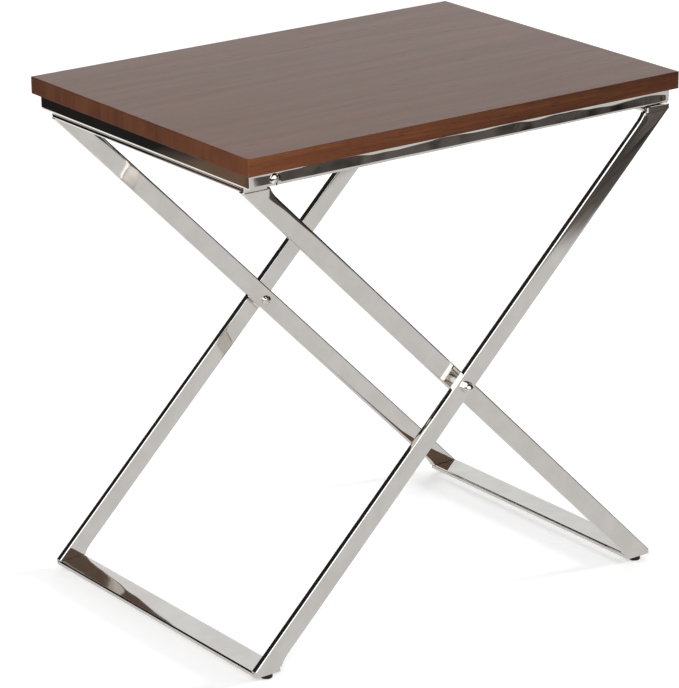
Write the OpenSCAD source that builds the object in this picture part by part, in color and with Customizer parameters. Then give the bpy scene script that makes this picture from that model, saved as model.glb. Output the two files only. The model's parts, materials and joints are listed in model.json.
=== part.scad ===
// Folding side table. A wooden top sits on a ring of flat bar. The ring is hinged at its left end to
// the inner frame, and rests at its right end on the outer frame. The two frames cross at a pivot.
// Millimetres, +Z up, +X to the right, front towards -Y. Origin on the floor under the middle of the top.

/* [Wooden top] */
// Length of the top, left to right
top_l = 565; // [558:1:600]
// Depth of the top, front to back
top_w = 414; // [408:1:440]
// Thickness of the top
top_t = 19; // [16:1:25]
// Rounding along the edges of the top
top_ease = 1; // [0.5:0.5:3]
// Rounding of the top's four corners, seen from above
top_corner = 1.5; // [1:0.5:8]

/* [Ring under the top] */
// Length of the ring over its end rails
ring_l = 554; // [549:1:555]
// Depth of the ring over its side rails
ring_w = 397; // [397:1:404]
// Height of the rails
ring_h = 17; // [15:0.5:18]
// Thickness of the rails
rail_t = 8; // [7:0.5:8]
// Rounding along the lower edges of the rails
rail_ease = 2.5; // [1:0.5:3]
// Rounding of the ring's four corners, seen from above
ring_corner = 2.5; // [1.5:0.5:4]

/* [Legs and bars] */
// Width of a leg, seen from the front
leg_w = 22; // [18:0.5:22]
// Thickness of a leg, front to back
leg_t = 8; // [6:0.5:8]
// Rounding along a leg's edges
leg_ease = 2; // [0.5:0.25:2.5]
// Width of the cross bars
bar_w = 34; // [34:0.5:35]
// Thickness of the two bars under the ring
top_bar_t = 5.2; // [4:0.2:6]
// Thickness of the two bars on the floor
base_bar_t = 5.6; // [4:0.2:7]
// Rounding along the bars' edges
bar_ease = 1.8; // [0.6:0.2:1.8]
// Rounding of the bars' corners, seen from above
bar_corner = 4; // [2:0.5:6]
// How far a leg stands back from the longer ends of its bars
leg_step = 2; // [0:0.5:2]

/* [Outer frame] */
// Depth of the outer frame over its legs
outer_w = 395.4; // [395:0.2:397]
// Reach of the base bar to the left of the middle
outer_base_x = 279; // [276:1:279]
// Reach of the top bar to the right of the middle
outer_top_x = 279; // [277:1:280]

/* [Inner frame] */
// Depth of the inner frame over its legs
inner_w = 365.4; // [363:0.2:367]
// Reach of the base bar to the right of the middle
inner_base_x = 275.5; // [273:0.5:276]
// Reach of the top bar to the left of the middle
inner_top_x = 273.5; // [272:0.5:274]

/* [Heights] */
// Height of the rubber feet
foot_h = 6; // [4:0.5:8]
// Height of the frames, from the underside of the base bars to the top of the upper bars
frame_h = 529.3; // [520:0.1:540]
// Gap between the upper bars and the ring
ring_gap = 1.2; // [1.2:0.1:3]

/* [Hinge and pivots] */
// Distance of the hinge from the middle, to the left
hinge_x = 243.5; // [243:0.5:246]
// Height of the hinge above the ring's lower edge
hinge_up = 6.8; // [6.5:0.1:7.5]
// Diameter of the pins
pin_d = 6; // [5:0.5:6]
// Diameter of the slotted heads
head_d = 12; // [10:0.5:12]
// Across flats of the cap nuts
cap_s = 11; // [10:0.5:12]
// Distance of the pivot below the crossing of the legs' middle lines
pivot_drop = 1.8; // [0:0.2:2]

/* [Feet] */
// Diameter of the rubber feet
foot_d = 13; // [12:0.5:16]
// Distance of a foot from the end of its bar
foot_in = 8.2; // [8:0.1:14]
// Distance of an outer frame's foot from the outer edge of its bar
outer_foot_set = 20; // [12:0.5:22]
// Distance of an inner frame's foot from the outer edge of its bar
inner_foot_set = 16; // [12:0.5:22]

/* [Hidden] */
$fn = 48;

// Clearance between a pin and what turns on it, and between turning faces
run_fit = 0.05;
face_fit = 0.1;
// Diameter of the wood screws' and foot screws' shanks, and of their heads
screw_d = 3.4;
screw_head_d = 6.6;
screw_head_h = 1.6;
screw_fit = 0.4;
// What is left of a base bar above the blind hole of a foot's screw, and of a foot above its well
blind = 1.2;
foot_washer = 1.5;

// Levels
bar_under = foot_h + frame_h - top_bar_t;
bar_top = foot_h + frame_h;
base_top = foot_h + base_bar_t;
ring_z = bar_top + ring_gap;
panel_z = ring_z + ring_h;
hinge_z = ring_z + hinge_up;

// Legs: the middle of each, and its lean from the floor
outer_head_x = outer_top_x - leg_step;
inner_foot_x = inner_base_x - leg_step;
leg_mid_z = (base_top + bar_under) / 2;
outer_mid_x = (outer_head_x - outer_base_x) / 2;
inner_mid_x = (inner_foot_x - inner_top_x) / 2;
outer_lean = lean(outer_head_x + outer_base_x);
inner_lean = lean(inner_foot_x + inner_top_x);

// The crossing pivot, just below the point where the middle lines of the legs meet
pivot_x = (tan(outer_lean) * outer_mid_x + tan(inner_lean) * inner_mid_x)
    / (tan(outer_lean) + tan(inner_lean));
pivot_z = leg_mid_z + tan(outer_lean) * (pivot_x - outer_mid_x) - pivot_drop;

// Faces in depth, measured from the middle
outer_y = outer_w / 2;
inner_y = inner_w / 2;
ring_y = ring_w / 2;

// Catches: the button's distance from the inner edge of the outer top bar and from the middle,
// the spring's width and thickness, and the hole and the button
catch_in = 11;
catch_x = outer_top_x - bar_w + catch_in;
catch_y = 120;
catch_w = 12;
catch_t = 0.8;
catch_hole_d = 8;
CATCH_SCREWS = [-50, -40];
catch_button_d = 6;

// Hinge nuts' thickness, the spacers' diameters, and how far a pivot bolt enters its cap nut
hinge_nut_t = 4.5;
hinge_spacer_d = 11;
pivot_spacer_d = 16;
cap_grip = 4;

// Tabs: thickness, width along the rail, reach from the rail
tab_t = 2;
tab_w = 22;
tab_reach = 16;
// Places of the tabs as [x, y, turn about Z]; each tab points along +Y before it is turned
TABS = [
    [-130, -ring_y + rail_t, 0], [130, -ring_y + rail_t, 0],
    [-130, ring_y - rail_t, 180], [130, ring_y - rail_t, 180],
    [-ring_l / 2 + rail_t, 0, -90], [ring_l / 2 - rail_t, 0, 90]
];

// Colours
WALNUT = [0.36, 0.22, 0.15];
NICKEL = [0.78, 0.76, 0.73];
STEEL = [0.6, 0.6, 0.6];
RUBBER = [0.06, 0.06, 0.06];

// The lean of a leg whose two edges meet the bars over this span
function lean(span) =
    atan2(bar_under - base_top, span) + asin(leg_w / norm([span, bar_under - base_top]));

// ---- Shared shapes ----

// Rectangle with arcs at its corners, centred
module rounded_rect(w, h, r) {
    square([w - 2 * r, h], center = true);
    square([w, h - 2 * r], center = true);
    for (sx = [-1, 1], sy = [-1, 1])
        translate([sx * (w / 2 - r), sy * (h / 2 - r)]) circle(r);
}

// An outline drawn in X and Z, run along Y
module along_y(length) {
    rotate([90, 0, 0]) linear_extrude(height = length, center = true) children();
}

// An outline drawn in Y and Z, run along X
module along_x(length) {
    rotate([90, 0, 90]) linear_extrude(height = length, center = true) children();
}

// A round bar along Y from y0 to y1
module pin_y(d, y0, y1) {
    translate([0, y0, 0]) rotate([-90, 0, 0]) cylinder(d = d, h = y1 - y0);
}

// Everything inside turned to face the front (side = -1) or the rear (side = 1)
module facing(side) {
    mirror([0, side < 0 ? 1 : 0, 0]) children();
}

// ---- Top ----

module top_panel() {
    color(WALNUT) difference() {
        translate([0, 0, panel_z + top_t / 2]) intersection() {
            linear_extrude(height = top_t, center = true) rounded_rect(top_l, top_w, top_corner);
            along_y(top_w) rounded_rect(top_l, top_t, top_ease);
            along_x(top_l) rounded_rect(top_w, top_t, top_ease);
        }
        at_tabs() screw_up(0);
        at_catches() catch_screw_places() screw_up(0);
    }
}

// The section of a rail: square at the top, rounded below
module rail_section() {
    rounded_rect(rail_t, ring_h, rail_ease);
    translate([-rail_t / 2, 0]) square([rail_t, ring_h / 2]);
}

module side_rail(side) {
    color(NICKEL) facing(side) difference() {
        translate([0, ring_y - rail_t / 2, ring_z + ring_h / 2]) intersection() {
            along_x(ring_l) rail_section();
            along_y(rail_t) {
                rounded_rect(ring_l, ring_h, rail_ease);
                translate([-ring_l / 2, 0]) square([ring_l, ring_h / 2]);
            }
            linear_extrude(height = ring_h, center = true) {
                translate([0, -rail_t]) rounded_rect(ring_l, 3 * rail_t, ring_corner);
            }
        }
        translate([-hinge_x, 0, hinge_z]) pin_y(pin_d + 2 * run_fit, 0, ring_y + 1);
    }
}

module end_rail(side) {
    color(NICKEL)
        translate([side * (ring_l - rail_t) / 2, 0, ring_z + ring_h / 2])
            along_y(ring_w - 2 * rail_t) rail_section();
}

// Children at each tab, at the underside of the top
module at_tabs() {
    for (t = TABS)
        translate([t[0], t[1], panel_z]) rotate(t[2]) translate([0, tab_reach / 2, 0]) children();
}

module mounting_tabs() {
    color(STEEL) at_tabs() difference() {
        translate([-tab_w / 2, -tab_reach / 2, -tab_t]) cube([tab_w, tab_reach, tab_t]);
        translate([0, 0, -2 * tab_t]) cylinder(d = screw_d + screw_fit, h = 3 * tab_t);
    }
}

// A wood screw pointing up, its head resting against a plate of this thickness
module screw_up(plate_t) {
    shank = 9;
    point = 3;
    tip_d = 0.4;
    translate([0, 0, -plate_t]) {
        translate([0, 0, -screw_head_h]) cylinder(d = screw_head_d, h = screw_head_h);
        cylinder(d = screw_d, h = shank + plate_t);
    }
    translate([0, 0, shank]) cylinder(d1 = screw_d, d2 = tip_d, h = point);
}

// A cross recess for a screw's head, sunk this deep
module cross_slot(depth) {
    slot_l = screw_head_d * 0.6;
    for (turn = [0, 90]) rotate(turn) cube([slot_l, slot_l / 5, 2 * depth], center = true);
}

module tab_screws() {
    color(STEEL) at_tabs() difference() {
        screw_up(tab_t);
        translate([0, 0, -tab_t - screw_head_h]) cross_slot(1);
    }
}

// Children at each catch, at the underside of the top above the button
module at_catches() {
    for (side = [-1, 1]) translate([catch_x, side * catch_y, panel_z]) children();
}

// The two screws of a catch
module catch_screw_places() {
    for (x = CATCH_SCREWS) translate([x, 0, 0]) children();
}

// A leaf spring with a flat tab, a slope and a flat end that carries the button
module catch_springs() {
    tab = [-56, -34];
    nose = [-8, 7];
    clear_of_bar = 1;
    drop = panel_z - bar_top - clear_of_bar;
    outline = [[tab[0], 0], [tab[1], 0], [nose[0], catch_t - drop], [nose[1], catch_t - drop]];
    color(STEEL) at_catches() difference() {
        union() {
            along_y(catch_w) polygon(concat(outline,
                [for (i = [len(outline) - 1:-1:0]) outline[i] - [0, catch_t]]));
            translate([0, 0, -drop]) difference() {
                sphere(d = catch_button_d);
                cylinder(d = catch_button_d + 1, h = catch_button_d);
            }
        }
        catch_screw_places() cylinder(d = screw_d + screw_fit, h = 4 * catch_t, center = true);
    }
}

module catch_screws() {
    color(STEEL) at_catches() catch_screw_places() difference() {
        screw_up(catch_t);
        translate([0, 0, -catch_t - screw_head_h]) cross_slot(1);
    }
}

// ---- Frames ----

// A cross bar along Y with its outer edge at x = 0, running to +X, lying on z = 0
module cross_bar(length, thick) {
    translate([bar_w / 2, 0, thick / 2]) intersection() {
        along_y(length) rounded_rect(bar_w, thick, bar_ease);
        linear_extrude(height = thick, center = true) rounded_rect(bar_w, length, bar_corner);
    }
}

// A leg that rises from the left to the right, between the base bar and the top bar. Its edges meet
// the bars' outer corners, and small webs bring it out to the bars' inner corners.
module rising_leg(foot_x, head_x, bar_foot_x, bar_head_x, tilt) {
    mid = (head_x - foot_x) / 2;
    half_run = leg_w / sin(tilt) / 2;
    web_foot = bar_w - bar_foot_x;
    web_head = bar_head_x - bar_w;
    foot_edge = mid - (leg_mid_z - base_top) / tan(tilt) + half_run;
    head_edge = mid + (leg_mid_z - base_top) / tan(tilt) - half_run;
    intersection() {
        translate([mid, 0, leg_mid_z]) rotate([0, 90 - tilt, 0])
            linear_extrude(height = 2 * frame_h, center = true) rounded_rect(leg_w, leg_t, leg_ease);
        translate([-frame_h, -leg_t, base_top]) cube([2 * frame_h, 2 * leg_t, bar_under - base_top]);
    }
    along_y(leg_t) {
        polygon([[foot_edge - 1, base_top], [web_foot, base_top],
            [web_foot, base_top + (web_foot - foot_edge) * tan(tilt)]]);
        polygon([[head_edge + 1, bar_under], [web_head, bar_under],
            [web_head, bar_under - (head_edge - web_head) * tan(tilt)]]);
    }
}

module pivot_bore(clearance) {
    translate([pivot_x, 0, pivot_z]) pin_y(pin_d + 2 * clearance, -leg_t, leg_t);
}

module outer_leg(side) {
    color(NICKEL) translate([0, side * (outer_y - leg_t / 2), 0]) difference() {
        rising_leg(outer_base_x, outer_head_x, outer_base_x, outer_top_x, outer_lean);
        pivot_bore(run_fit);
    }
}

module inner_leg(side) {
    color(NICKEL) translate([0, side * (inner_y - leg_t / 2), 0]) difference() {
        mirror([1, 0, 0])
            rising_leg(inner_foot_x, inner_top_x, inner_base_x, inner_top_x, inner_lean);
        pivot_bore(0);
    }
}

module outer_top_bar() {
    color(NICKEL) difference() {
        translate([outer_top_x, 0, bar_under]) mirror([1, 0, 0]) cross_bar(outer_w, top_bar_t);
        at_catches() translate([0, 0, bar_top - panel_z])
            cylinder(d = catch_hole_d, h = 3 * top_bar_t, center = true);
    }
}

module outer_base_bar() {
    color(NICKEL) difference() {
        translate([-outer_base_x, 0, foot_h]) cross_bar(outer_w, base_bar_t);
        at_outer_feet() screw_hole();
    }
}

module inner_top_bar() {
    color(NICKEL) translate([-inner_top_x, 0, bar_under]) cross_bar(inner_w, top_bar_t);
}

module inner_base_bar() {
    color(NICKEL) difference() {
        translate([inner_base_x, 0, foot_h]) mirror([1, 0, 0]) cross_bar(inner_w, base_bar_t);
        at_inner_feet() screw_hole();
    }
}

// Soft pads on the outer top bar that carry the ring's right end
module rest_pads() {
    pad_l = 24;
    pad_y = 155;
    pad_corner = 2;
    color(RUBBER) for (side = [-1, 1])
        translate([(ring_l - rail_t) / 2, side * pad_y, bar_top])
            linear_extrude(height = ring_gap - face_fit) rounded_rect(rail_t, pad_l, pad_corner);
}

// ---- Feet ----

module at_outer_feet() {
    for (side = [-1, 1])
        translate([outer_foot_set - outer_base_x, side * (outer_y - foot_in), foot_h]) children();
}

module at_inner_feet() {
    for (side = [-1, 1])
        translate([inner_base_x - inner_foot_set, side * (inner_y - foot_in), foot_h]) children();
}

module screw_hole() {
    cylinder(d = screw_d, h = base_bar_t - blind);
}

// A rubber foot hanging from z = 0, with a rounded lower edge and a well for its screw
module foot() {
    edge = 1;
    well_d = screw_head_d + 0.6;
    color(RUBBER) difference() {
        translate([0, 0, -foot_h]) rotate_extrude() {
            square([foot_d / 2 - edge, foot_h]);
            translate([0, edge]) square([foot_d / 2, foot_h - edge]);
            translate([foot_d / 2 - edge, edge]) circle(edge);
        }
        translate([0, 0, -foot_h - foot_washer]) cylinder(d = well_d, h = foot_h);
        cylinder(d = screw_d, h = 3 * foot_h, center = true);
    }
}

// The screw of a foot: its head sits in the well, clear of the floor
module foot_screw() {
    color(STEEL) translate([0, 0, -foot_washer]) difference() {
        union() {
            cylinder(d = screw_d, h = foot_washer + base_bar_t - blind);
            translate([0, 0, -screw_head_h]) cylinder(d = screw_head_d, h = screw_head_h);
        }
        translate([0, 0, -screw_head_h]) cross_slot(1);
    }
}

// ---- Hinge and pivots ----

// A lug on the inner top bar, rounded about the hinge
module hinge_lug(side) {
    lug_r = 6.4;
    lug_x0 = -hinge_x - lug_r;
    lug_x1 = bar_w - inner_top_x;
    color(NICKEL) translate([0, side * (inner_y - leg_t / 2), 0]) difference() {
        along_y(leg_t) {
            translate([-hinge_x, hinge_z]) circle(lug_r);
            translate([lug_x0, bar_top]) square([lug_x1 - lug_x0, hinge_z - bar_top]);
        }
        translate([-hinge_x, 0, hinge_z]) pin_y(pin_d, -leg_t, leg_t);
    }
}

// A slotted pan head at y = 0 that bulges to +Y, with a plain rim below the bulge and its slot upright
module slotted_head(d, rim, bulge) {
    ball = (d * d / 4 + bulge * bulge) / (2 * bulge);
    slot_w = d / 7;
    difference() {
        intersection() {
            translate([0, rim + bulge - ball, 0]) sphere(ball, $fn = 64);
            pin_y(d, 0, rim + bulge);
        }
        translate([-slot_w / 2, rim, -d]) cube([slot_w, 2 * bulge, 2 * d]);
    }
}

module hinge_screws() {
    past_nut = 1.5;
    slot_turn = 12;
    color(NICKEL) for (side = [-1, 1]) facing(side) translate([-hinge_x, 0, hinge_z]) {
        translate([0, ring_y + face_fit, 0]) rotate([0, slot_turn, 0]) slotted_head(head_d, 1.2, 2.2);
        pin_y(pin_d, inner_y - leg_t - hinge_nut_t - past_nut, ring_y + face_fit);
    }
}

module hinge_spacers() {
    color(STEEL) for (side = [-1, 1]) facing(side) translate([-hinge_x, 0, hinge_z]) difference() {
        pin_y(hinge_spacer_d, inner_y, ring_y - rail_t - face_fit);
        pin_y(pin_d, inner_y - 1, ring_y);
    }
}

module hinge_nuts() {
    across_flats = 10;
    color(STEEL) for (side = [-1, 1]) facing(side)
        translate([-hinge_x, inner_y - leg_t - hinge_nut_t, hinge_z]) difference() {
            rotate([-90, 30, 0]) cylinder(d = across_flats / cos(30), h = hinge_nut_t, $fn = 6);
            pin_y(pin_d, -1, hinge_nut_t + 1);
        }
}

module pivot_bolts() {
    slot_turn = -28;
    color(NICKEL) for (side = [-1, 1]) facing(side) translate([pivot_x, 0, pivot_z]) {
        translate([0, inner_y - leg_t, 0]) rotate([0, slot_turn, 0]) mirror([0, 1, 0])
            slotted_head(head_d - 1, 1.5, 3);
        pin_y(pin_d, inner_y - leg_t, outer_y + face_fit + cap_grip);
    }
}

module pivot_spacers() {
    color(STEEL) for (side = [-1, 1]) facing(side) translate([pivot_x, 0, pivot_z]) difference() {
        pin_y(pivot_spacer_d, inner_y, outer_y - leg_t - face_fit);
        pin_y(pin_d, inner_y - 1, outer_y);
    }
}

// A hexagon with a dome
module cap_nuts() {
    hex_t = 4.6;
    bevel = 0.8;
    corners_d = cap_s / cos(30);
    dome_d = cap_s * 0.88;
    color(NICKEL) for (side = [-1, 1]) facing(side) translate([pivot_x, outer_y + face_fit, pivot_z])
        rotate([-90, 12, 0]) difference() {
            union() {
                intersection() {
                    cylinder(d = corners_d, h = hex_t, $fn = 6);
                    union() {
                        cylinder(d = corners_d, h = hex_t - bevel);
                        translate([0, 0, hex_t - bevel])
                            cylinder(d1 = corners_d, d2 = cap_s * 0.97, h = bevel);
                    }
                }
                translate([0, 0, hex_t]) intersection() {
                    sphere(d = dome_d, $fn = 64);
                    translate([0, 0, -bevel]) cylinder(d = dome_d, h = dome_d);
                }
            }
            translate([0, 0, -1]) cylinder(d = pin_d, h = cap_grip + 1);
        }
}

top_panel();
side_rail(-1);  // front_rail
side_rail(1);  // rear_rail
end_rail(-1);  // left_rail
end_rail(1);  // right_rail
mounting_tabs();
tab_screws();
catch_springs();
catch_screws();
inner_leg(-1);  // inner_leg_front
inner_leg(1);  // inner_leg_rear
inner_top_bar();
inner_base_bar();
hinge_lug(-1);  // hinge_lug_front
hinge_lug(1);  // hinge_lug_rear
hinge_screws();
hinge_spacers();
hinge_nuts();
pivot_bolts();
pivot_spacers();
cap_nuts();
at_inner_feet() foot();  // inner_feet
at_inner_feet() foot_screw();  // inner_foot_screws
outer_leg(-1);  // outer_leg_front
outer_leg(1);  // outer_leg_rear
outer_top_bar();
outer_base_bar();
rest_pads();
at_outer_feet() foot();  // outer_feet
at_outer_feet() foot_screw();  // outer_foot_screws
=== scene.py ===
import json
import math

import bmesh
import bpy
from mathutils import Matrix, Vector, noise


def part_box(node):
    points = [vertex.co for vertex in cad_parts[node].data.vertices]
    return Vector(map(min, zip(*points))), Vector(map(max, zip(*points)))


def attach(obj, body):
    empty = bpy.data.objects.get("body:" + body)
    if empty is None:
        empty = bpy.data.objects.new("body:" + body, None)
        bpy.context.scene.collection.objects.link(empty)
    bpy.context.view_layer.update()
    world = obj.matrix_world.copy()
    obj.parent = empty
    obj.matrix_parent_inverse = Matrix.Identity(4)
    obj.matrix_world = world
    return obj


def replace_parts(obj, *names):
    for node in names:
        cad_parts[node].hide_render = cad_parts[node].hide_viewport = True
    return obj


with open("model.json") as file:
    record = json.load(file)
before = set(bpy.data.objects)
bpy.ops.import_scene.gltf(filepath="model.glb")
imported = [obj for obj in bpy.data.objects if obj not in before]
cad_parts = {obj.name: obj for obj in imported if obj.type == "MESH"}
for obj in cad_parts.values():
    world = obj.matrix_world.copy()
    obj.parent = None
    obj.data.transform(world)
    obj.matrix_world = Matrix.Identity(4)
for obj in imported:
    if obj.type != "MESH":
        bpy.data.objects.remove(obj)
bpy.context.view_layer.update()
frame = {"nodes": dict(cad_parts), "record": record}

NODES = frame["nodes"]
RECORD = frame["record"]
MM = 0.001
WHITE = (1, 1, 1, 1)


# ---- Camera ----

# The camera stands in front, to the left of the table and above it, with a long lens. The bearing runs
# from +Y towards +X.
CAMERA_PLACE = (-2.2056, -3.0279, 1.5495)
CAMERA_BEARING = math.radians(35.776)
CAMERA_DIP = math.radians(18.936)
CAMERA_ROLL = 0.0098
CAMERA_LENS = 187.15
SENSOR_WIDTH = 36
VIEW_DISTANCE = 100


def make_camera():
    """The view from the front left, a little above the table."""
    level = math.cos(CAMERA_DIP)
    forward = Vector((math.sin(CAMERA_BEARING) * level, math.cos(CAMERA_BEARING) * level,
                      -math.sin(CAMERA_DIP)))
    right = Vector((math.cos(CAMERA_BEARING), -math.sin(CAMERA_BEARING), 0))
    down = forward.cross(right)
    right_rolled = right * math.cos(CAMERA_ROLL) + down * math.sin(CAMERA_ROLL)
    down_rolled = down * math.cos(CAMERA_ROLL) - right * math.sin(CAMERA_ROLL)
    turn = Matrix((right_rolled, -down_rolled, -forward)).transposed()
    data = bpy.data.cameras.new("camera")
    data.lens = CAMERA_LENS
    data.sensor_width = SENSOR_WIDTH
    data.clip_end = VIEW_DISTANCE
    camera = bpy.data.objects.new("camera", data)
    camera.matrix_world = Matrix.Translation(CAMERA_PLACE) @ turn.to_4x4()
    bpy.context.scene.collection.objects.link(camera)
    bpy.context.scene.camera = camera


# ---- Node helpers ----

class Nodes:
    """Short ways to add and join shader nodes in one tree."""

    def __init__(self, tree):
        self.tree = tree
        tree.nodes.clear()

    def add(self, kind, inputs=None, **settings):
        node = self.tree.nodes.new("ShaderNode" + kind)
        for name, value in settings.items():
            setattr(node, name, value)
        for name, value in (inputs or {}).items():
            self.put(value, node.inputs[name])
        return node

    def put(self, value, socket):
        if isinstance(value, bpy.types.NodeSocket):
            self.tree.links.new(value, socket)
        elif isinstance(value, bpy.types.Node):
            self.tree.links.new(value.outputs[0], socket)
        else:
            socket.default_value = value

    def math(self, operation, a, b=0.0, c=0.0):
        return self.add("Math", {0: a, 1: b, 2: c}, operation=operation).outputs[0]

    def ramp(self, value, low, high, to_low=0.0, to_high=1.0):
        """A smooth step of value, from to_low at low to to_high at high."""
        node = self.add("MapRange", {"Value": value, "From Min": low, "From Max": high,
                                     "To Min": to_low, "To Max": to_high},
                        interpolation_type="SMOOTHSTEP")
        return node.outputs["Result"]

    def place(self, scale=(1, 1, 1)):
        """The object's own position in metres, scaled along each axis."""
        spot = self.add("TexCoord").outputs["Object"]
        return self.add("Mapping", {"Vector": spot, "Scale": scale}).outputs[0]

    def noise(self, vector, scale, detail=3.0, roughness=0.5):
        """Soft noise around 0.5, with this many cells to each unit of the vector."""
        return self.add("TexNoise", {"Vector": vector, "Scale": scale, "Detail": detail,
                                     "Roughness": roughness}).outputs[0]

    def mix_colour(self, share, a, b):
        node = self.add("Mix", {0: share}, data_type="RGBA")
        self.put(a, node.inputs[6])
        self.put(b, node.inputs[7])
        return node.outputs[2]

    def bump(self, height, strength, distance):
        return self.add("Bump", {"Height": height, "Strength": strength, "Distance": distance}).outputs[0]


def new_material(name):
    material = bpy.data.materials.new(name)
    material.use_nodes = True
    return material, Nodes(material.node_tree)


def finish_surface(nodes, shader):
    nodes.add("OutputMaterial", {"Surface": shader})


# ---- Materials ----

# Most of a noise's values lie between these two
SPREAD = (0.3, 0.7)
# A face turns from one finish to the next while its normal's share along an axis passes between these
FACING = (0.6, 0.8)

NICKEL_DEEP, NICKEL_PALE = (0.785, 0.75, 0.705, 1), (0.84, 0.812, 0.775, 1)
ZINC_DEEP, ZINC_PALE = (0.50, 0.50, 0.49, 1), (0.66, 0.66, 0.64, 1)
RUBBER_DEEP, RUBBER_PALE = (0.004, 0.004, 0.004, 1), (0.014, 0.014, 0.014, 1)

EDGE_DEEP, EDGE_WARM, EDGE_PALE = (0.105, 0.032, 0.012, 1), (0.205, 0.067, 0.025, 1), (0.290, 0.105, 0.042, 1)
TOP_WARM, TOP_LIGHT, TOP_PALE = (0.210, 0.072, 0.027, 1), (0.252, 0.089, 0.035, 1), (0.290, 0.112, 0.048, 1)
TOP_CLOUD = (0.200, 0.082, 0.038, 1)
DARK_FLECK = (0.050, 0.015, 0.007, 1)
# Painted shade: the board's lower face is coloured near black for the shade beneath the top, not for the
# wood's own colour
UNDERSIDE_SHADE_DEEP, UNDERSIDE_SHADE_PALE = (0.010, 0.005, 0.004, 1), (0.022, 0.010, 0.007, 1)
SIDE_ROUGHNESS = 0.62
TOP_ROUGHNESS = 0.27


def polished_nickel():
    """Hand-polished plate: a clear mirror with slow waves and a trace of haze."""
    material, n = new_material("polished_nickel")
    waves = n.noise(n.place(), 16.0, detail=1.0)
    haze = n.noise(n.place((3, 3, 3)), 12.0, detail=3.0)
    shader = n.add("BsdfPrincipled", {
        "Base Color": n.mix_colour(n.ramp(haze, *SPREAD), NICKEL_DEEP, NICKEL_PALE), "Metallic": 1.0,
        "Roughness": n.ramp(haze, 0.3, 0.8, 0.025, 0.05), "Normal": n.bump(waves, 0.2, 1.2 * MM)})
    finish_surface(n, shader)
    return material


def zinc_steel():
    """Plated steel with a fine brushed grain."""
    material, n = new_material("zinc_steel")
    grain = n.noise(n.place((1, 6, 1)), 220.0, detail=4.0)
    shader = n.add("BsdfPrincipled", {
        "Base Color": n.mix_colour(n.ramp(grain, *SPREAD), ZINC_DEEP, ZINC_PALE), "Metallic": 1.0,
        "Roughness": n.ramp(grain, *SPREAD, 0.28, 0.42), "Normal": n.bump(grain, 0.2, 0.2 * MM)})
    finish_surface(n, shader)
    return material


def black_rubber():
    """Matt moulded rubber with a fine pebble."""
    material, n = new_material("black_rubber")
    grain = n.noise(n.place(), 900.0, detail=3.0)
    shader = n.add("BsdfPrincipled", {
        "Base Color": n.mix_colour(n.ramp(grain, *SPREAD), RUBBER_DEEP, RUBBER_PALE),
        "Roughness": n.ramp(grain, *SPREAD, 0.55, 0.75), "Normal": n.bump(grain, 0.3, 0.2 * MM)})
    finish_surface(n, shader)
    return material


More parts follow.
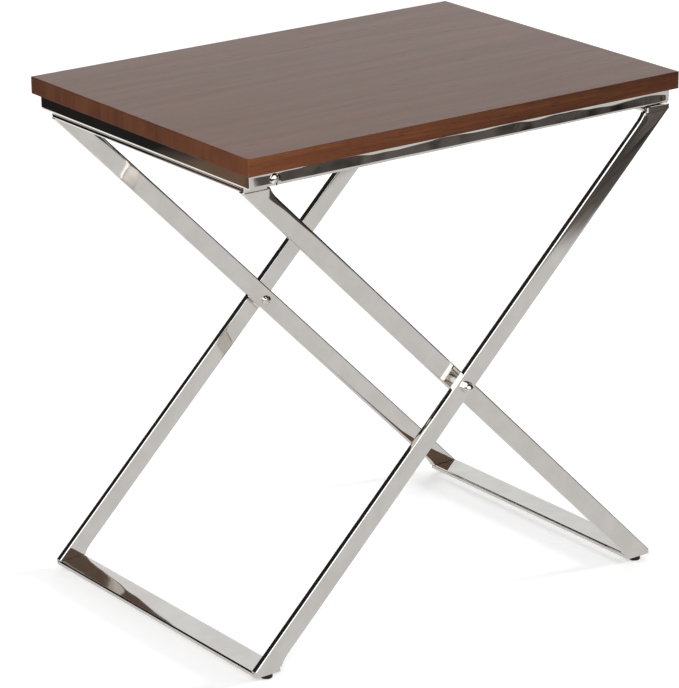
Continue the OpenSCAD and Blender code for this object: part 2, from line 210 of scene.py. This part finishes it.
def stained_wood_with_painted_shade():
    """A board with its grain along X under a satin lacquer, and with soft upright blotches at its ends. Its
    lower face is painted near black as painted shade.
    """
    material, n = new_material("stained_wood_with_painted_shade")
    spot = n.add("SeparateXYZ", {0: n.place()})
    side = n.add("SeparateXYZ", {0: n.add("NewGeometry").outputs["Normal"]})
    upward = side.outputs["Z"]
    at_end = n.ramp(n.math("ABSOLUTE", side.outputs["X"]), *FACING)
    on_top = n.ramp(upward, *FACING)
    # This mask picks the downward faces, which take the painted shade
    below = n.ramp(upward, -FACING[0], -FACING[1])
    # Streaks of figure, wide and soft, that wander along the board
    drift = n.noise(n.place((1.2, 6, 6)), 3.0, detail=2.0)
    across = n.math("MULTIPLY_ADD", drift, 30 * MM, n.math("ADD", spot.outputs["Y"], spot.outputs["Z"]))
    streak_place = n.add("CombineXYZ", {"X": n.math("MULTIPLY", spot.outputs["X"], 2.5),
                                        "Y": n.math("MULTIPLY", across, 70.0)})
    streaks = n.noise(streak_place, 1.0, detail=4.0, roughness=0.6)
    # Noises from here on have their scale in n.place, as cells to a metre along X, Y and Z
    fibres = n.noise(n.place((14, 330, 330)), 1.0, detail=4.0, roughness=0.6)
    flecks = n.noise(n.place((60, 700, 700)), 1.0, detail=2.0)
    blotches = n.noise(n.place((60, 34, 9)), 1.0, detail=4.0, roughness=0.6)
    upright = n.noise(n.place((200, 200, 22)), 1.0, detail=3.0)
    pores = n.noise(n.place((26, 250, 250)), 1.0, detail=3.0, roughness=0.6)
    clouds = n.noise(n.place((7, 17, 9)), 1.0, detail=5.0, roughness=0.65)
    # Edges: short flecks along the front and rear, soft upright blotches at the two ends
    long_edge = n.mix_colour(n.ramp(streaks, *SPREAD, 0.2, 0.9), EDGE_DEEP, EDGE_WARM)
    long_edge = n.mix_colour(n.ramp(fibres, 0.48, 0.75, 0.0, 0.45), long_edge, EDGE_PALE)
    long_edge = n.mix_colour(n.ramp(flecks, 0.3, 0.42, 0.6, 0.0), long_edge, DARK_FLECK)
    end_edge = n.mix_colour(n.ramp(blotches, *SPREAD, 0.15, 0.85), EDGE_DEEP, EDGE_WARM)
    end_edge = n.mix_colour(n.ramp(upright, 0.3, 0.45, 0.25, 0.0), end_edge, DARK_FLECK)
    edges = n.mix_colour(at_end, long_edge, end_edge)
    # Top: lighter and more even, with long pores and faint clouds
    top = n.mix_colour(n.ramp(streaks, 0.3, 0.68), TOP_WARM, TOP_LIGHT)
    top = n.mix_colour(n.ramp(fibres, 0.5, 0.75, 0.0, 0.4), top, TOP_PALE)
    top = n.mix_colour(n.ramp(pores, 0.3, 0.42, 0.45, 0.0), top, EDGE_DEEP)
    top = n.mix_colour(n.ramp(clouds, 0.4, 0.62, 0.0, 0.5), top, TOP_CLOUD)
    # Painted shade: faces turned downward take a near-black colour that stands for the shade beneath the
    # board
    painted_underside_shade = n.mix_colour(fibres, UNDERSIDE_SHADE_DEEP, UNDERSIDE_SHADE_PALE)
    base = n.mix_colour(below, n.mix_colour(on_top, edges, top), painted_underside_shade)
    height = n.math("MULTIPLY_ADD", fibres, 0.6, n.ramp(flecks, 0.25, 0.4))
    roughness = n.ramp(upward, *FACING, SIDE_ROUGHNESS, TOP_ROUGHNESS)
    shader = n.add("BsdfPrincipled", {
        "Base Color": base, "Roughness": n.math("MULTIPLY_ADD", n.ramp(streaks, *SPREAD), -0.03, roughness),
        "IOR": 1.5, "Specular IOR Level": 0.2, "Normal": n.bump(height, 0.12, 0.05 * MM)})
    finish_surface(n, shader)
    return material


def dress_cad_nodes():
    """Gives every CAD node its material, and returns the materials by slot."""
    slot_of = {row["node"]: row["material_slot"] for row in RECORD["subparts"]}
    finish = {"walnut": stained_wood_with_painted_shade(), "nickel": polished_nickel(),
              "steel": zinc_steel(), "rubber": black_rubber()}
    for name, node in NODES.items():
        node.data.materials.clear()
        node.data.materials.append(finish[slot_of[name]])
    return finish


# ---- Pieces that stand for CAD nodes ----

def loft(name, sections, material, body, closed=False):
    """A solid skinned over sections of equal length, with flat caps unless it runs round in a loop."""
    form = bmesh.new()
    rings = [[form.verts.new(point) for point in section] for section in sections]
    count = len(rings[0])
    pairs = list(zip(rings, rings[1:]))
    if closed:
        pairs.append((rings[-1], rings[0]))
    for lower, upper in pairs:
        for i in range(count):
            j = (i + 1) % count
            form.faces.new((lower[i], lower[j], upper[j], upper[i]))
    if not closed:
        form.faces.new(list(reversed(rings[0])))
        form.faces.new(rings[-1])
    bmesh.ops.recalc_face_normals(form, faces=form.faces)
    for face in form.faces:
        face.smooth = len(face.verts) == 4
    mesh = bpy.data.meshes.new(name)
    form.to_mesh(mesh)
    form.free()
    mesh.materials.append(material)
    piece = bpy.data.objects.new(name, mesh)
    bpy.context.scene.collection.objects.link(piece)
    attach(piece, body)
    return piece


def smooth_max(a, b, blend):
    """The larger of two lengths, with the corner where they cross rounded over blend."""
    gap = max(blend - abs(a - b), 0) / blend
    return max(a, b) + gap * gap * blend / 4


def slow_wave(x, y, z, wavelength, seed):
    """A smooth value from about -1 to 1 that changes over this wavelength."""
    return noise.noise(Vector((x / wavelength + seed, y / wavelength, z / wavelength)))


# A leg's width square to its length, the rounding of its edges, and how far its faces bulge
LEG_WIDTH = 22 * MM
LEG_ROUND = 1.5 * MM
LEG_CROWN = 0.16 * MM
LEG_CROWN_FADE = 25 * MM
# Wavelength of the faces' waves, and their height as a share of the bulge
LEG_WAVE = 70 * MM
LEG_WAVE_SHARE = 0.5
# Rounding of the inside corners where a leg is welded to its bars
WELD_BLEND = 9 * MM
# Extra grinding of the upper edges below a leg's head: its depth, where it is full, how far down it
# fades, and the wavelength and share of its ripple
HEAD_GRIND = 8 * MM
GRIND_FULL = 10 * MM
GRIND_REACH = 42 * MM
GRIND_RIPPLE = 14 * MM
GRIND_RIPPLE_SHARE = 0.5
# Level slices in a leg, and how strongly they crowd towards its two ends
LEG_LEVELS = 120
LEG_CROWDING = 0.11
# Steps round a corner of a slice, along its wide faces and along its narrow ones
CORNER_STEPS, FACE_STEPS, EDGE_STEPS = 8, 8, 3
FIRST_SEED, SEED_STEP = 1.0, 7.3


def leg_section(left, right, front, back, z, tilt, ground, crown, seed):
    """A level slice through a leaning leg, from its upper front corner round to the lower and back.

    Its upper corners are ground wider than its lower ones where the leg meets the upper bar.
    """
    wide = LEG_ROUND / math.sin(tilt)
    upper_wide = wide + ground
    points = []

    def corner(cx, cy, start, reach):
        for i in range(CORNER_STEPS + 1):
            turn = start + math.pi / 2 * i / CORNER_STEPS
            points.append((cx + reach * math.cos(turn), cy + LEG_ROUND * math.sin(turn)))

    def flat(a, b, steps):
        for i in range(1, steps):
            share = i / steps
            points.append((a[0] + (b[0] - a[0]) * share, a[1] + (b[1] - a[1]) * share))

    low_y, high_y = front + LEG_ROUND, back - LEG_ROUND
    corner(left + upper_wide, low_y, math.pi, upper_wide)
    flat((left + upper_wide, front), (right - wide, front), FACE_STEPS)
    corner(right - wide, low_y, 1.5 * math.pi, wide)
    flat((right, low_y), (right, high_y), EDGE_STEPS)
    corner(right - wide, high_y, 0, wide)
    flat((right - wide, back), (left + upper_wide, back), FACE_STEPS)
    corner(left + upper_wide, high_y, 0.5 * math.pi, upper_wide)
    flat((left, high_y), (left, low_y), EDGE_STEPS)

    middle_x, half_x = (left + right) / 2, (right - left) / 2
    middle_y, half_y = (front + back) / 2, (back - front) / 2
    shaped = []
    for x, y in points:
        across = (x - middle_x) / half_x
        depth = (y - middle_y) / half_y
        wave = 0.5 + 0.5 * slow_wave(x, y, z, LEG_WAVE, seed)
        sink = crown * (across * across + LEG_WAVE_SHARE * wave)
        shaped.append((x, middle_y + (y - middle_y) * (1 - sink * abs(depth) / half_y), z))
    return shaped


def make_leg(node, base_bar, top_bar, body, material, seed):
    """A flat-bar leg that swells smoothly into the two bars it is welded to.

    It is worked out as a leg that rises to the right, and mirrored by its sign if it rises to the left.
    """
    (x0, y0, z0), (x1, y1, z1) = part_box(node)
    base_low, base_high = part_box(base_bar)
    top_low, top_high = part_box(top_bar)
    rises_right = (base_low[0] + base_high[0]) < (top_low[0] + top_high[0])
    sign = 1 if rises_right else -1
    foot_outer = min(sign * x0, sign * x1)
    head_outer = max(sign * x0, sign * x1)
    foot_inner = max(sign * base_low[0], sign * base_high[0])
    head_inner = min(sign * top_low[0], sign * top_high[0])
    height, run = z1 - z0, head_outer - foot_outer
    tilt = math.atan2(height, run) + math.asin(LEG_WIDTH / math.hypot(height, run))
    sections = []
    for i in range(LEG_LEVELS + 1):
        share = i / LEG_LEVELS
        share = share - LEG_CROWDING * math.sin(2 * math.pi * share)
        z = z0 + height * share
        upper = foot_outer + (z - z0) / math.tan(tilt)
        lower = head_outer - (z1 - z) / math.tan(tilt)
        right = smooth_max(lower, foot_inner, WELD_BLEND)
        left = -smooth_max(-upper, -head_inner, WELD_BLEND)
        crown = LEG_CROWN * min(1.0, (z - z0) / LEG_CROWN_FADE, (z1 - z) / LEG_CROWN_FADE)
        below = z1 - z
        ripple = 1 + GRIND_RIPPLE_SHARE * slow_wave(0, 0, z, GRIND_RIPPLE, seed)
        ground = HEAD_GRIND * min(1.0, below / GRIND_FULL) * math.exp(-(below / GRIND_REACH) ** 2) * ripple
        section = leg_section(left, right, y0, y1, z, tilt, ground, crown, seed)
        sections.append([(sign * x, y, level) for x, y, level in section])
    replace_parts(loft(node + "_polished", sections, material, body), node)


# Rounding of the ring's four corners, of its lower outer edge and of its inner lower edge
RING_CORNER = 2.5 * MM
RING_ROUND = 3 * MM
RING_INNER_EASE = 1.5 * MM
# How far the face starts behind the CAD ring's, and the height over which its fold is soft
RING_SETBACK = 0.3 * MM
FOLD_SOFT = 1.1 * MM
# The fold's height below the top edge in mm: at the left end, its growth to the right end, and its swing
FOLD_START, FOLD_GROWTH, FOLD_SWING = 2.2, 4.2, 4.5
# Lean of the face in degrees, above the fold and below it. A positive lean faces the floor.
UPPER_LEAN, UPPER_LEAN_GROWTH, UPPER_LEAN_CURVE = 3, 4, 6
LOWER_LEAN, LOWER_LEAN_GROWTH, LOWER_LEAN_SWING = -2.6, 2.0, 0.7
LEAN_FADE = 5 * MM
# Wavelengths and seeds of the two waves that make the swing, and the finer one's share
BROAD_WAVE, BROAD_SEED = 75 * MM, 3.1
FINE_WAVE, FINE_SEED, FINE_SHARE = 24 * MM, 8.7, 0.5
# Spacing of the sections, and steps round a corner, down the face and round the lower edge
RING_STEP = 6 * MM
RING_CORNER_STEPS, RING_FACE_STEPS, RING_ROUND_STEPS = 6, 26, 8
LEAST_REACH = 0.02 * MM
SAME_PLACE = 1e-7


def ring_path(half_x, half_y):
    """Sections along the ring, each as the x and y it is built from and the x and y of its way outward."""
    places = []
    corners = [(1, -1, -0.5), (1, 1, 0.0), (-1, 1, 0.5), (-1, -1, 1.0)]
    for k, (sx, sy, start) in enumerate(corners):
        cx, cy = sx * (half_x - RING_CORNER), sy * (half_y - RING_CORNER)
        for i in range(RING_CORNER_STEPS + 1):
            turn = math.pi * (start + 0.5 * i / RING_CORNER_STEPS)
            ox, oy = math.cos(turn), math.sin(turn)
            places.append((cx, cy, ox, oy))
        nx, ny = corners[(k + 1) % 4][:2]
        next_x, next_y = nx * (half_x - RING_CORNER), ny * (half_y - RING_CORNER)
        count = round(math.hypot(next_x - cx, next_y - cy) / RING_STEP)
        for i in range(1, count):
            share = i / count
            places.append((cx + (next_x - cx) * share, cy + (next_y - cy) * share, ox, oy))
    return places


def ring_profile(thick, height, fold, upper_lean, lower_lean):
    """Depth behind the outer face, and height above the lower edge, from the inside round over the top.

    The face leans by one angle above the fold and by another below it.
    """
    points = [(thick, RING_INNER_EASE), (thick, height)]
    step = (height - RING_ROUND) / RING_FACE_STEPS
    depth = RING_SETBACK
    for i in range(RING_FACE_STEPS + 1):
        below_top = step * i
        share = min(max((fold - below_top) / FOLD_SOFT + 0.5, 0.0), 1.0)
        share = share * share * (3 - 2 * share)
        points.append((depth, height - below_top))
        depth += step * math.tan(lower_lean + (upper_lean - lower_lean) * share)
    sunk = points[-1][0]
    for i in range(1, RING_ROUND_STEPS + 1):
        turn = math.pi / 2 * i / RING_ROUND_STEPS
        points.append((sunk + RING_ROUND * (1 - math.cos(turn)), RING_ROUND * (1 - math.sin(turn))))
    points.append((thick - RING_INNER_EASE, 0.0))
    return points


def make_ring(material):
    """The four rails, welded at their mitres and polished as one, so the long faces are slightly uneven."""
    rails = ("front_rail", "rear_rail", "left_rail", "right_rail")
    (x0, y0, z0), (x1, y1, z1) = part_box("front_rail")
    rear_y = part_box("rear_rail")[1][1]
    thick = y1 - y0
    half_x = (x1 - x0) / 2
    sections = []
    for cx, cy, ox, oy in ring_path(half_x, rear_y):
        swing = slow_wave(cx, cy, 0, BROAD_WAVE, BROAD_SEED)
        swing += FINE_SHARE * slow_wave(cx, cy, 0, FINE_WAVE, FINE_SEED)
        along = (cx - x0) / (x1 - x0)
        # The leans belong to the front and rear faces, and die out at the corners
        on_side = abs(oy) ** 8
        fade = on_side * min(1.0, (half_x - abs(cx)) / LEAN_FADE)
        fold = (FOLD_START + FOLD_GROWTH * along + FOLD_SWING * swing) * MM
        upper_degrees = UPPER_LEAN + UPPER_LEAN_GROWTH * along + UPPER_LEAN_CURVE * along * along
        lower_degrees = LOWER_LEAN + LOWER_LEAN_GROWTH * along + LOWER_LEAN_SWING * swing
        profile = ring_profile(thick, z1 - z0, fold, fade * math.radians(upper_degrees),
                               fade * math.radians(lower_degrees))
        at_x_corner = abs(abs(cx) - (half_x - RING_CORNER)) < SAME_PLACE
        at_y_corner = abs(abs(cy) - (rear_y - RING_CORNER)) < SAME_PLACE
        section = []
        for depth, z in profile:
            # Outside the corner's centre a point lies along the way outward, inside it on the mitre
            out = RING_CORNER - depth
            reach = max(out, LEAST_REACH)
            inward = min(out, 0.0)
            mitre_x = inward * math.copysign(1, cx) if at_x_corner else 0.0
            mitre_y = inward * math.copysign(1, cy) if at_y_corner else 0.0
            section.append((cx + reach * ox + mitre_x, cy + reach * oy + mitre_y, z0 + z))
        sections.append(section)
    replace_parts(loft("ring_polished", sections, material, "top", closed=True), *rails)


def make_polished_pieces(nickel):
    frames = {"outer": "outer_frame", "inner": "inner_frame"}
    seed = FIRST_SEED
    for side, body in frames.items():
        for end in ("front", "rear"):
            make_leg(side + "_leg_" + end, side + "_base_bar", side + "_top_bar", body, nickel, seed)
            seed += SEED_STEP
    make_ring(nickel)


# ---- Studio ----

# Half the size of the floor, and the radii of the two domes, in metres
FLOOR_REACH = 14
MIRROR_DOME_RADIUS = 12
PAPER_DOME_RADIUS = 13
DARK_ROOM = (0.016, 0.016, 0.016, 1)
BROWN_ROOM = (0.125, 0.090, 0.070, 1)
PALE_WALL = (0.98, 0.99, 1.0, 1)
WARM_DARK_FLOOR = (1, 0.90, 0.83, 1)
BROWN_FLOOR = (1, 0.64, 0.42, 1)


def only_seen_by(obj, camera=False, glossy=False, shadow=False):
    obj.visible_camera = camera
    obj.visible_glossy = glossy
    obj.visible_diffuse = False
    obj.visible_shadow = shadow
    obj.visible_transmission = camera
    obj.visible_volume_scatter = False


def plane(name, z, material):
    """A level square as wide as the floor."""
    far = FLOOR_REACH
    mesh = bpy.data.meshes.new(name)
    mesh.from_pydata([(-far, -far, z), (far, -far, z), (far, far, z), (-far, far, z)], [], [(0, 1, 2, 3)])
    mesh.materials.append(material)
    obj = bpy.data.objects.new(name, mesh)
    bpy.context.scene.collection.objects.link(obj)
    return obj


def pale_floor():
    """A white floor that shows faint shadows, and that only the camera sees."""
    material, n = new_material("pale_floor")
    shader = n.add("BsdfPrincipled", {"Base Color": (0.8, 0.8, 0.8, 1), "Roughness": 1.0,
                                      "Specular IOR Level": 0.0,
                                      "Emission Color": WHITE, "Emission Strength": 0.38})
    finish_surface(n, shader)
    only_seen_by(plane("floor", 0.0, material), camera=True, shadow=True)


def mirror_floor():
    """What polished metal sees of the floor: light near the table, dark away from the lights."""
    material, n = new_material("mirror_floor")
    spot = n.add("SeparateXYZ", {0: n.place()})
    x, y = spot.outputs["X"], spot.outputs["Y"]
    mottle = n.noise(n.place(), 5.0, detail=3.0)
    cloud = n.noise(n.place((1.0, 1.6, 1.0)), 3.2, detail=4.0, roughness=0.6)
    # The lit part ends with an uneven edge to the right, and cleanly to the left and at the back
    right_edge = n.ramp(n.math("MULTIPLY_ADD", mottle, 0.12, x), 0.92, 1.18, 1.0, 0.16)
    right_far = n.ramp(x, 1.0, 1.4, 1.0, n.ramp(cloud, 0.32, 0.68, 0.1, 1.25))
    left_edge = n.ramp(x, -1.15, -0.95, 0.015, 1.0)
    back_edge = n.ramp(y, 2.2, 2.6, 1.0, 0.05)
    # It is brightest to the left of the table and behind it
    bright_left = n.ramp(x, -0.42, -0.3, 1.5, 1.0)
    bright_back = n.ramp(y, 0.35, 0.9, 1.0, 1.6)
    level = n.math("MULTIPLY", n.math("MULTIPLY", right_edge, right_far),
                   n.math("MULTIPLY", left_edge, back_edge))
    level = n.math("MULTIPLY", level, n.math("MAXIMUM", bright_left, bright_back))
    # A dim brown patch far to the left, which the left rail reflects at its near end
    brown = n.math("MULTIPLY", n.ramp(x, -1.15, -1.05, 1.0, 0.0), n.ramp(y, 1.42, 1.62, 1.0, 0.0))
    level = n.math("MAXIMUM", level, n.math("MULTIPLY", brown, n.ramp(mottle, 0.35, 0.65, 0.12, 0.24)))
    tone = n.mix_colour(n.ramp(right_edge, 0.2, 0.7), WARM_DARK_FLOOR, WHITE)
    tone = n.mix_colour(brown, tone, BROWN_FLOOR)
    shader = n.add("Emission", {"Color": tone, "Strength": n.math("MULTIPLY", level, 0.64)})
    finish_surface(n, shader)
    only_seen_by(plane("mirror_floor", MM, material), glossy=True)


def ball(name, radius, material):
    mesh = bpy.data.meshes.new(name)
    form = bmesh.new()
    bmesh.ops.create_uvsphere(form, u_segments=64, v_segments=32, radius=radius)
    form.to_mesh(mesh)
    form.free()
    mesh.materials.append(material)
    obj = bpy.data.objects.new(name, mesh)
    bpy.context.scene.collection.objects.link(obj)
    return obj


def toward(n, part, degrees):
    """How far a direction lies towards this bearing from +Y, as the cosine between them seen from above."""
    x = n.math("MULTIPLY", part.outputs["X"], math.sin(math.radians(degrees)))
    y = n.math("MULTIPLY", part.outputs["Y"], math.cos(math.radians(degrees)))
    level_x = n.math("MULTIPLY", part.outputs["X"], part.outputs["X"])
    level_y = n.math("MULTIPLY", part.outputs["Y"], part.outputs["Y"])
    # The small addend keeps the length above zero straight overhead
    length = n.math("SQRT", n.math("ADD", n.math("ADD", level_x, level_y), 1e-6))
    return n.math("DIVIDE", n.math("ADD", x, y), length)


def mirror_dome():
    """What polished metal sees of the room above the floor: a pale wall behind, and a soft box in front left.

    Bearings and rises are in degrees.
    """
    material, n = new_material("mirror_dome")
    way = n.add("VectorMath", {0: n.place()}, operation="NORMALIZE")
    part = n.add("SeparateXYZ", {0: way.outputs[0]})
    rise = n.math("MULTIPLY", n.math("ARCSINE", part.outputs["Z"]), 180 / math.pi)
    wall = n.math("MULTIPLY", n.ramp(toward(n, part, 40), 0.90, 0.96), n.ramp(rise, 26, 31, 1.0, 0.0))
    box = n.math("MULTIPLY", n.ramp(toward(n, part, -140), 0.5, 0.66), n.ramp(rise, 6, 12))
    box = n.math("MULTIPLY", box, n.ramp(rise, 62, 72, 1.0, 0.0))
    level = n.math("ADD", n.math("MULTIPLY", wall, n.ramp(rise, 17, 21, 1.0, 0.74)),
                   n.math("MULTIPLY", box, 1.8))
    room = n.math("MULTIPLY", n.ramp(toward(n, part, 150), 0.75, 0.95), n.ramp(rise, 4, 12))
    tone = n.mix_colour(room, DARK_ROOM, BROWN_ROOM)
    tone = n.mix_colour(n.math("MINIMUM", level, 1.0), tone, PALE_WALL)
    shader = n.add("Emission", {"Color": tone, "Strength": n.math("MAXIMUM", level, 1.0)})
    finish_surface(n, shader)
    only_seen_by(ball("mirror_dome", MIRROR_DOME_RADIUS, material), glossy=True)


def paper_dome():
    """The white backdrop that the camera sees beyond the floor."""
    material, n = new_material("paper_dome")
    finish_surface(n, n.add("Emission", {"Color": WHITE, "Strength": 1.05}))
    only_seen_by(ball("paper_dome", PAPER_DOME_RADIUS, material), camera=True)


def soft_light(name, place, aim, size, power):
    """A square light of this many metres and watts that no mirror shows."""
    data = bpy.data.lights.new(name, "AREA")
    data.shape = "RECTANGLE"
    data.size = size
    data.size_y = size
    data.energy = power
    light = bpy.data.objects.new(name, data)
    direction = Vector(aim) - Vector(place)
    light.rotation_euler = direction.to_track_quat("-Z", "Y").to_euler()
    light.location = place
    light.visible_glossy = False
    bpy.context.scene.collection.objects.link(light)


def low_sun():
    """A low, soft light from the right that only draws faint shadows on the floor."""
    softness = math.radians(13)
    height = math.radians(13)
    data = bpy.data.lights.new("low_sun", "SUN")
    data.energy = 3.4
    data.angle = softness
    light = bpy.data.objects.new("low_sun", data)
    direction = Vector((-0.96, 0.28, -math.tan(height)))
    light.rotation_euler = direction.to_track_quat("-Z", "Y").to_euler()
    light.visible_glossy = False
    bpy.context.scene.collection.objects.link(light)
    receivers = bpy.data.collections.new("low_sun_receivers")
    receivers.objects.link(bpy.data.objects["floor"])
    light.light_linking.receiver_collection = receivers


def make_studio():
    world = bpy.data.worlds.new("studio")
    world.use_nodes = True
    n = Nodes(world.node_tree)
    background = n.add("Background", {"Color": WHITE, "Strength": 0.26})
    n.add("OutputWorld", {"Surface": background})
    bpy.context.scene.world = world
    soft_light("back_light", place=(1.7, 1.9, 2.4), aim=(0, 0, 0.2), size=2.4, power=24)
    soft_light("front_light", place=(-0.55, -0.7, 0.62), aim=(-0.1, -0.1, 0.54), size=0.4, power=3.2)
    soft_light("left_light", place=(-1.6, 0.5, 0.9), aim=(-0.2, 0.1, 0.5), size=0.6, power=5)
    pale_floor()
    low_sun()
    mirror_floor()
    mirror_dome()
    paper_dome()
    scene = bpy.context.scene
    scene.view_settings.view_transform = "Standard"
    scene.view_settings.look = "None"


make_camera()
make_studio()
finishes = dress_cad_nodes()
make_polished_pieces(finishes["nickel"])
